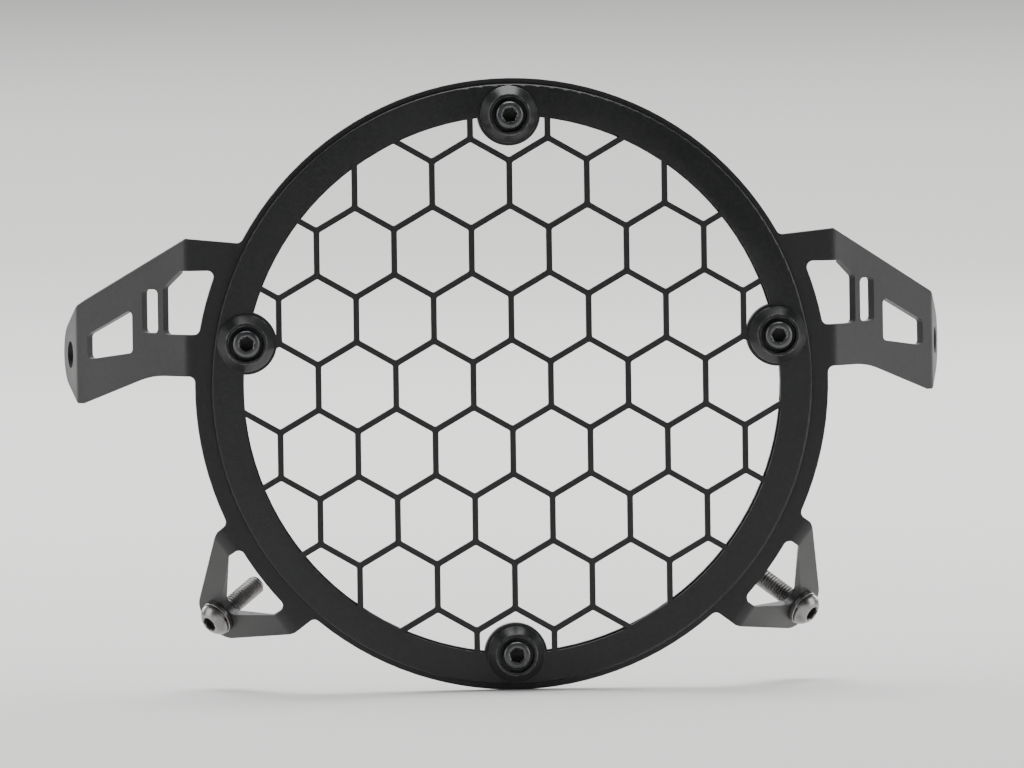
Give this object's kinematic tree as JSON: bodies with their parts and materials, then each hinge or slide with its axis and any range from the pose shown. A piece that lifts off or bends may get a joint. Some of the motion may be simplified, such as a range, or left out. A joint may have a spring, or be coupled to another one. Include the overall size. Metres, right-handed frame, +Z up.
{
  "type": "motorcycle headlight guard",
  "caption": "Round honeycomb grille screwed to a bent bracket with side wings and lower ears, made to cover a round motorcycle headlight.",
  "frame": {"origin": "on the lamp's axis, in the plane where the grille's back lies on the bracket's front", "axes": "+X to the right as seen from the front, +Z up, the front faces -Y"},
  "size_m": [0.2736, 0.061, 0.1902],
  "materials": {
    "powder_coat": "satin black powder coat",
    "anodised_black": "black anodised, turned",
    "black_steel": "black oxide",
    "bright_steel": "bare bright steel"
  },
  "bodies": {
    "root": {"mounting_bracket": "powder_coat", "honeycomb_grille": "powder_coat", "cup_washer_top": "anodised_black", "cup_washer_bottom": "anodised_black", "cup_washer_left": "anodised_black", "cup_washer_right": "anodised_black", "cap_screw_top": "black_steel", "cap_screw_bottom": "black_steel", "cap_screw_left": "black_steel", "cap_screw_right": "black_steel", "flat_washer_top": "black_steel", "flat_washer_bottom": "black_steel", "flat_washer_left": "black_steel", "flat_washer_right": "black_steel", "lock_nut_top": "black_steel", "lock_nut_bottom": "black_steel", "lock_nut_left": "black_steel", "lock_nut_right": "black_steel", "ear_bolt_left": "bright_steel", "ear_bolt_right": "bright_steel", "ear_washer_left": "bright_steel", "ear_washer_right": "bright_steel"}
  },
  "joints": []
}
